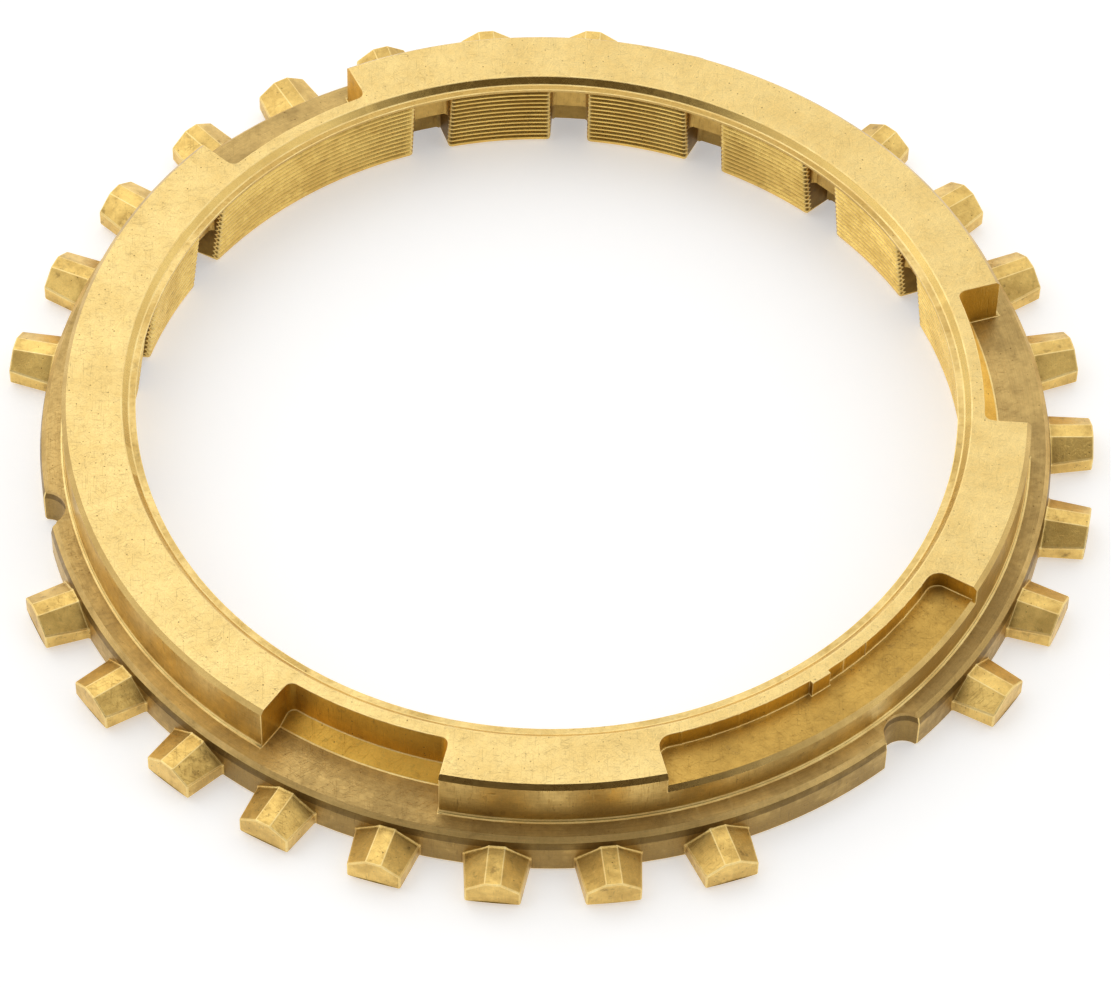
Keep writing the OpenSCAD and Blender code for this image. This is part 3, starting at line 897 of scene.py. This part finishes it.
ends = fillet_outline(OIL_R, PAD_DROP), fillet_outline(OIL_R, OIL_ROOF_Z + FILLET_RISE)
fillets = at_slots("slot_fillets", ends, "oil")
ends = fillet_outline(WEB_R, WEB_Z), fillet_outline(WEB_R, PAD_TOP)
web_fillets = at_slots("web_fillets", ends, "web")
ends = corner_outline(CORNER_FRONT, CORNER_R), corner_outline(CORNER_BACK, CORNER_R_BACK)
corners = at_slots("pad_corners", ends, "pad")

# %% [markdown]
# ## One piece of metal
# The real ring is a single piece, so the teeth, pads and fillets are joined to the body with Boolean
# unions, and the corner pieces are cut from it. Each part is closed and reaches a little into the
# body, which is what a clean Boolean needs.

# %% Join everything into one solid
joins = [(part, "UNION") for part in (teeth, stub, pads, long_pads, fillets, web_fillets)]
joins.append((corners, "DIFFERENCE"))
for part, operation in joins:
    join = body.modifiers.new("join", "BOOLEAN")
    join.operation, join.solver, join.object = operation, "MANIFOLD", part
    join.material_mode = "TRANSFER"
    print(operation.lower(), part.name)
    plain_mesh(body)
    bpy.data.objects.remove(part)
ring = body
ring.name = ring.data.name = "brass_ring"

# %% [markdown]
# A solid is sound when every edge has two faces, so the open edges are counted. Then the faces are
# shaded smooth up to an angle of 30 degrees. Large faces decide the shading at an edge, so the flats
# stay flat and only the thin rounded edges catch the light.

# %% Check and shade the ring
SMOOTH_UNDER, LARGE_FACES = math.radians(30), 60
check = bmesh.new()
check.from_mesh(ring.data)
open_edges = sum(1 for e in check.edges if len(e.link_faces) != 2)
volume = check.calc_volume() / MM**3
triangles = sum(len(f.verts) - 2 for f in check.faces)
check.free()
print("ring:", triangles, "triangles,", open_edges, "open edges,", round(volume, 1), "mm3")
for polygon in ring.data.polygons:
    polygon.use_smooth = True
ring.data.set_sharp_from_angle(angle=SMOOTH_UNDER)
even = ring.modifiers.new("even_normals", "WEIGHTED_NORMAL")
even.keep_sharp, even.weight = True, LARGE_FACES
plain_mesh(ring)

# %% [markdown]
# ## Floor and light
# Metal shows what is round it, so the light is as much a part of its look as the finish. A white sheet
# of paper lies just under the ring. It glows a little where the camera or a reflection sees it, which
# keeps it white without more light on the ring.

# %% Lay the floor
FLOOR_HALF, FLOOR_Z, PAPER_GLOW, FIBRE = 3.0, -0.00005, 0.42, 3.0
PAPER_TONES = (0.73, 0.73, 0.73, 1), (0.75, 0.75, 0.75, 1)


def paper_floor():
    """A white paper floor with a faint fibre in its tone."""
    mesh = bpy.data.meshes.new("studio_floor")
    square = (-1, -1), (1, -1), (1, 1), (-1, 1)
    points = [(x * FLOOR_HALF, y * FLOOR_HALF, FLOOR_Z) for x, y in square]
    mesh.from_pydata(points, [], [(0, 1, 2, 3)])
    sheet = NodeSheet("white_paper")
    fibre = sheet.noise(FIBRE, 3)
    sheet.feed(sheet.shader.inputs["Base Color"], sheet.mix(fibre, *PAPER_TONES))
    sheet.shader.inputs["Roughness"].default_value = 0.9
    sheet.shader.inputs["Specular IOR Level"].default_value = 0.1
    rays = sheet.add("ShaderNodeLightPath").outputs
    seen = sheet.maths("MAXIMUM", rays["Is Camera Ray"], rays["Is Glossy Ray"])
    seen = sheet.maths("MAXIMUM", seen, rays["Is Transmission Ray"])
    sheet.shader.inputs["Emission Color"].default_value = (1, 1, 1, 1)
    sheet.feed(sheet.shader.inputs["Emission Strength"], sheet.maths("MULTIPLY", seen, PAPER_GLOW))
    mesh.materials.append(sheet.material)
    piece = bpy.data.objects.new("studio_floor", mesh)
    scene.collection.objects.link(piece)
    return piece


paper_floor()
print("floor half side", FLOOR_HALF, "m")

# %% [markdown]
# The world is a soft white studio: white overhead and at the back, where the hub face looks, and dim
# towards the front, where the camera stands. That difference is what separates the roof faces of the
# teeth. One wide soft lamp adds a direction to the light.

# %% Light the studio
DIM_FRONT, DIM_UP, DIM_FROM, DIM_FULL = 0.87, 0.5, 0.6, 0.9
SKY_WHITE, FRONT_DIM = (0.98, 0.98, 0.98, 1), (0.10, 0.075, 0.04, 1)
LAMP_SIDE, LAMP_POWER, LAMP_AT = 0.8, 1.0, Vector((-0.35, 0.25, 0.6))

world = bpy.data.worlds.new("soft_studio")
scene.world = world
world.use_nodes = True
nodes, links = world.node_tree.nodes, world.node_tree.links
heading = nodes.new("ShaderNodeTexCoord").outputs["Generated"]
back = Vector((view_ahead.x, view_ahead.y, 0)).normalized()
toward = nodes.new("ShaderNodeVectorMath")
toward.operation = "DOT_PRODUCT"
toward.inputs[1].default_value = (-DIM_FRONT * back + Vector((0, 0, DIM_UP))).normalized()
links.new(heading, toward.inputs[0])
dimming = nodes.new("ShaderNodeMapRange")
dimming.interpolation_type = "SMOOTHSTEP"
for socket, value in (("From Min", DIM_FROM), ("From Max", DIM_FULL)):
    dimming.inputs[socket].default_value = value
links.new(toward.outputs["Value"], dimming.inputs["Value"])
sky = nodes.new("ShaderNodeMix")
sky.data_type = "RGBA"
sky.inputs[6].default_value, sky.inputs[7].default_value = SKY_WHITE, FRONT_DIM
links.new(dimming.outputs["Result"], sky.inputs[0])
links.new(sky.outputs[2], nodes["Background"].inputs["Color"])
nodes["Background"].inputs["Strength"].default_value = 1

soft = bpy.data.lights.new("soft_box", "AREA")
soft.shape, soft.size, soft.size_y, soft.energy = "RECTANGLE", LAMP_SIDE, LAMP_SIDE, LAMP_POWER
lamp = bpy.data.objects.new("soft_box", soft)
scene.collection.objects.link(lamp)
spot = turn @ LAMP_AT
lamp.matrix_world = Matrix.Translation(spot) @ spot.to_track_quat("Z", "Y").to_matrix().to_4x4()
scene.view_settings.view_transform = "Standard"
print("lamp at", [round(c, 2) for c in spot])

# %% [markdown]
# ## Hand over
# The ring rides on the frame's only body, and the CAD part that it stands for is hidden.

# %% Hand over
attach(ring, "root")
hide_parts("synchronizer_ring")
